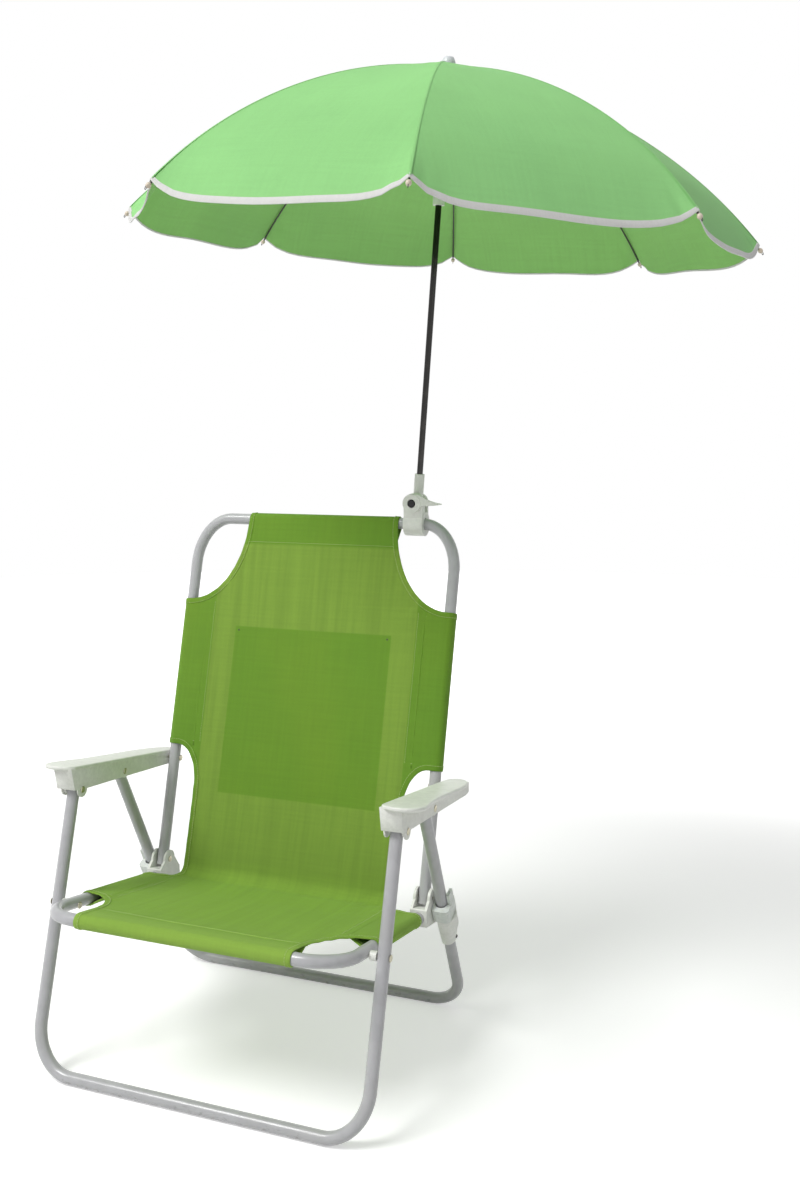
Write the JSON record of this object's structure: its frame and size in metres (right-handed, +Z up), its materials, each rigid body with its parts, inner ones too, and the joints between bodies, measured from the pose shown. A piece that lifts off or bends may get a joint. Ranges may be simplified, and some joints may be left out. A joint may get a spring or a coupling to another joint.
{
  "type": "folding chair with parasol",
  "caption": "Low folding garden chair with a bent tube frame, a one-piece cloth sling, moulded armrests and a clamped, tilting parasol.",
  "frame": {"origin": "middle of the front foot bar's flat underside, on the floor", "axes": "+X to the right in a front view, which is the left of a person in the chair, +Y from the front of the chair to its back, +Z up"},
  "size_m": [0.9036, 0.883, 1.3835],
  "materials": {
    "white_enamel": "gloss white powder coat",
    "white_plastic": "moulded white plastic, satin gloss",
    "clear_nylon": "milky translucent nylon",
    "grey_plastic": "moulded light grey plastic",
    "zinc": "yellow zinc plated rivet",
    "dark_steel": "dark oiled steel",
    "chrome": "bright chromed tube",
    "lime_sling": "lime green woven sling cloth",
    "green_canopy": "light green parasol cloth"
  },
  "bodies": {
    "seat": {"seat_frame": "white_enamel", "hinge_bracket_l": "white_plastic", "hinge_bracket_r": "white_plastic", "leg_spacer_l": "white_plastic", "leg_spacer_r": "white_plastic", "leg_rivet_l": "zinc", "leg_rivet_r": "zinc", "hinge_rivet_l": "zinc", "hinge_rivet_r": "zinc", "seat_sling": "lime_sling"},
    "back": {"back_frame": "white_enamel", "back_sling": "lime_sling", "back_pocket": "lime_sling", "arm_rear_rivet_l": "zinc", "arm_rear_rivet_r": "zinc"},
    "front_legs": {"front_leg_loop": "white_enamel"},
    "armrest_left": {"armrest_l": "white_plastic", "arm_front_rivet_l": "zinc", "arm_middle_rivet_l": "zinc"},
    "armrest_right": {"armrest_r": "white_plastic", "arm_front_rivet_r": "zinc", "arm_middle_rivet_r": "zinc"},
    "rear_legs": {"rear_leg_loop": "white_enamel"},
    "guide_left": {"guide_collar_l": "clear_nylon", "guide_sleeve_l": "grey_plastic"},
    "guide_right": {"guide_collar_r": "clear_nylon", "guide_sleeve_r": "grey_plastic"},
    "clamp": {"clamp_jaw": "white_plastic", "clamp_body": "white_plastic", "clamp_bolt": "dark_steel", "clamp_nut": "dark_steel"},
    "lever": {"clamp_lever": "white_plastic"},
    "socket": {"pole_socket": "white_plastic"},
    "pole": {"pole": "chrome", "finial": "white_plastic", "crown": "white_plastic", "canopy": "green_canopy"},
    "rib_1": {"rib_1": "dark_steel"},
    "stretcher_1": {"stretcher_1": "dark_steel"},
    "rib_2": {"rib_2": "dark_steel"},
    "stretcher_2": {"stretcher_2": "dark_steel"},
    "rib_3": {"rib_3": "dark_steel"},
    "stretcher_3": {"stretcher_3": "dark_steel"},
    "rib_4": {"rib_4": "dark_steel"},
    "stretcher_4": {"stretcher_4": "dark_steel"},
    "rib_5": {"rib_5": "dark_steel"},
    "stretcher_5": {"stretcher_5": "dark_steel"},
    "rib_6": {"rib_6": "dark_steel"},
    "stretcher_6": {"stretcher_6": "dark_steel"},
    "rib_7": {"rib_7": "dark_steel"},
    "stretcher_7": {"stretcher_7": "dark_steel"},
    "rib_8": {"rib_8": "dark_steel"},
    "stretcher_8": {"stretcher_8": "dark_steel"},
    "runner": {"runner": "white_plastic"}
  },
  "joints": [
    {"name": "back_fold", "type": "hinge", "parent": "seat", "child": "back", "pos_m": [0, 0.28679, 0.21248], "axis": [1, 0, 0], "range_deg": [0, 90]},
    {"name": "front_leg_fold", "type": "hinge", "parent": "seat", "child": "front_legs", "pos_m": [0, 0.06444, 0.223], "axis": [1, 0, 0], "range_deg": [0, 90]},
    {"name": "armrest_left_fold", "type": "hinge", "parent": "back", "child": "armrest_left", "pos_m": [-0.216, 0.33149, 0.36148], "axis": [1, 0, 0], "range_deg": [-90, 0]},
    {"name": "armrest_right_fold", "type": "hinge", "parent": "back", "child": "armrest_right", "pos_m": [0.216, 0.33149, 0.36148], "axis": [1, 0, 0], "range_deg": [-90, 0]},
    {"name": "rear_leg_fold", "type": "hinge", "parent": "armrest_right", "child": "rear_legs", "pos_m": [0, 0.21149, 0.37048], "axis": [1, 0, 0], "range_deg": [0, 50]},
    {"name": "guide_left_turn", "type": "hinge", "parent": "seat", "child": "guide_left", "pos_m": [-0.2405, 0.29749, 0.19498], "axis": [1, 0, 0], "range_deg": [0, 50]},
    {"name": "guide_right_turn", "type": "hinge", "parent": "seat", "child": "guide_right", "pos_m": [0.2405, 0.29749, 0.19498], "axis": [1, 0, 0], "range_deg": [0, 50]},
    {"name": "clamp_turn", "type": "hinge", "parent": "back", "child": "clamp", "pos_m": [0.15, 0.4296, 0.7318], "axis": [1, 0, 0], "range_deg": [-30, 30]},
    {"name": "lever_turn", "type": "hinge", "parent": "clamp", "child": "lever", "pos_m": [0.15, 0.42838, 0.76378], "axis": [0, 0.9993, 0.0384], "range_deg": [-90, 15]},
    {"name": "parasol_tilt", "type": "hinge", "parent": "clamp", "child": "socket", "pos_m": [0.15, 0.43647, 0.76409], "axis": [0, 0.9993, 0.0384], "range_deg": [-30, 30]},
    {"name": "pole_lift", "type": "slide", "parent": "socket", "child": "pole", "axis": [0.0854, -0.0382, 0.9956], "range_m": [0, 0.025]},
    {"name": "rib_1_fold", "type": "hinge", "parent": "pole", "child": "rib_1", "pos_m": [0.20427, 0.40164, 1.35709], "axis": [0.9601, 0.2702, -0.072], "range_deg": [0, 64], "deforming": ["canopy"]},
    {"name": "stretcher_1_fold", "type": "hinge", "parent": "rib_1", "child": "stretcher_1", "pos_m": [0.26221, 0.17362, 1.27405], "axis": [0.9601, 0.2702, -0.072], "range_deg": [-128, 0]},
    {"name": "rib_2_fold", "type": "hinge", "parent": "pole", "child": "rib_2", "pos_m": [0.21178, 0.40754, 1.35667], "axis": [0.4906, 0.8713, -0.0086], "range_deg": [0, 64]},
    {"name": "stretcher_2_fold", "type": "hinge", "parent": "rib_2", "child": "stretcher_2", "pos_m": [0.4138, 0.29289, 1.26563], "axis": [0.4906, 0.8713, -0.0086], "range_deg": [-128, 0]},
    {"name": "rib_3_fold", "type": "hinge", "parent": "pole", "child": "rib_3", "pos_m": [0.21294, 0.41704, 1.35694], "axis": [-0.2663, 0.962, 0.0598], "range_deg": [0, 64]},
    {"name": "stretcher_3_fold", "type": "hinge", "parent": "rib_3", "child": "stretcher_3", "pos_m": [0.43724, 0.48446, 1.27098], "axis": [-0.2663, 0.962, 0.0598], "range_deg": [-128, 0]},
    {"name": "rib_4_fold", "type": "hinge", "parent": "pole", "child": "rib_4", "pos_m": [0.20707, 0.42455, 1.35773], "axis": [-0.8672, 0.4892, 0.0932], "range_deg": [0, 64]},
    {"name": "stretcher_4_fold", "type": "hinge", "parent": "rib_4", "child": "stretcher_4", "pos_m": [0.31881, 0.6361, 1.28696], "axis": [-0.8672, 0.4892, 0.0932], "range_deg": [-128, 0]},
    {"name": "rib_5_fold", "type": "hinge", "parent": "pole", "child": "rib_5", "pos_m": [0.19761, 0.42569, 1.35858], "axis": [-0.9601, -0.2702, 0.072], "range_deg": [0, 64]},
    {"name": "stretcher_5_fold", "type": "hinge", "parent": "rib_5", "child": "stretcher_5", "pos_m": [0.12788, 0.65898, 1.30422], "axis": [-0.9601, -0.2702, 0.072], "range_deg": [-128, 0]},
    {"name": "rib_6_fold", "type": "hinge", "parent": "pole", "child": "rib_6", "pos_m": [0.1901, 0.41978, 1.359], "axis": [-0.4906, -0.8713, 0.0086], "range_deg": [0, 64]},
    {"name": "stretcher_6_fold", "type": "hinge", "parent": "rib_6", "child": "stretcher_6", "pos_m": [-0.02371, 0.53971, 1.31265], "axis": [-0.4906, -0.8713, 0.0086], "range_deg": [-128, 0]},
    {"name": "rib_7_fold", "type": "hinge", "parent": "pole", "child": "rib_7", "pos_m": [0.18894, 0.41028, 1.35874], "axis": [0.2663, -0.962, -0.0598], "range_deg": [0, 64]},
    {"name": "stretcher_7_fold", "type": "hinge", "parent": "rib_7", "child": "stretcher_7", "pos_m": [-0.04715, 0.34814, 1.3073], "axis": [0.2663, -0.962, -0.0598], "range_deg": [-128, 0]},
    {"name": "rib_8_fold", "type": "hinge", "parent": "pole", "child": "rib_8", "pos_m": [0.19481, 0.40277, 1.35794], "axis": [0.8672, -0.4892, -0.0932], "range_deg": [0, 64]},
    {"name": "stretcher_8_fold", "type": "hinge", "parent": "rib_8", "child": "stretcher_8", "pos_m": [0.07128, 0.1965, 1.29131], "axis": [0.8672, -0.4892, -0.0932], "range_deg": [-128, 0]},
    {"name": "runner_turn", "type": "hinge", "parent": "stretcher_1", "child": "runner", "pos_m": [0.19248, 0.40691, 1.2197], "axis": [0.9601, 0.2702, -0.072], "range_deg": [0, 64]}
  ],
  "couplings": [
    {"joint": "front_leg_fold", "follows": "back_fold", "ratio": 1},
    {"joint": "armrest_left_fold", "follows": "back_fold", "ratio": -1},
    {"joint": "armrest_right_fold", "follows": "back_fold", "ratio": -1},
    {"joint": "rear_leg_fold", "follows": "back_fold", "ratio": 0.554},
    {"joint": "guide_left_turn", "follows": "back_fold", "ratio": 0.554},
    {"joint": "guide_right_turn", "follows": "back_fold", "ratio": 0.554},
    {"joint": "stretcher_1_fold", "follows": "rib_1_fold", "ratio": -2},
    {"joint": "rib_2_fold", "follows": "rib_1_fold", "ratio": 1},
    {"joint": "stretcher_2_fold", "follows": "rib_1_fold", "ratio": -2},
    {"joint": "rib_3_fold", "follows": "rib_1_fold", "ratio": 1},
    {"joint": "stretcher_3_fold", "follows": "rib_1_fold", "ratio": -2},
    {"joint": "rib_4_fold", "follows": "rib_1_fold", "ratio": 1},
    {"joint": "stretcher_4_fold", "follows": "rib_1_fold", "ratio": -2},
    {"joint": "rib_5_fold", "follows": "rib_1_fold", "ratio": 1},
    {"joint": "stretcher_5_fold", "follows": "rib_1_fold", "ratio": -2},
    {"joint": "rib_6_fold", "follows": "rib_1_fold", "ratio": 1},
    {"joint": "stretcher_6_fold", "follows": "rib_1_fold", "ratio": -2},
    {"joint": "rib_7_fold", "follows": "rib_1_fold", "ratio": 1},
    {"joint": "stretcher_7_fold", "follows": "rib_1_fold", "ratio": -2},
    {"joint": "rib_8_fold", "follows": "rib_1_fold", "ratio": 1},
    {"joint": "stretcher_8_fold", "follows": "rib_1_fold", "ratio": -2},
    {"joint": "runner_turn", "follows": "rib_1_fold", "ratio": 1}
  ]
}
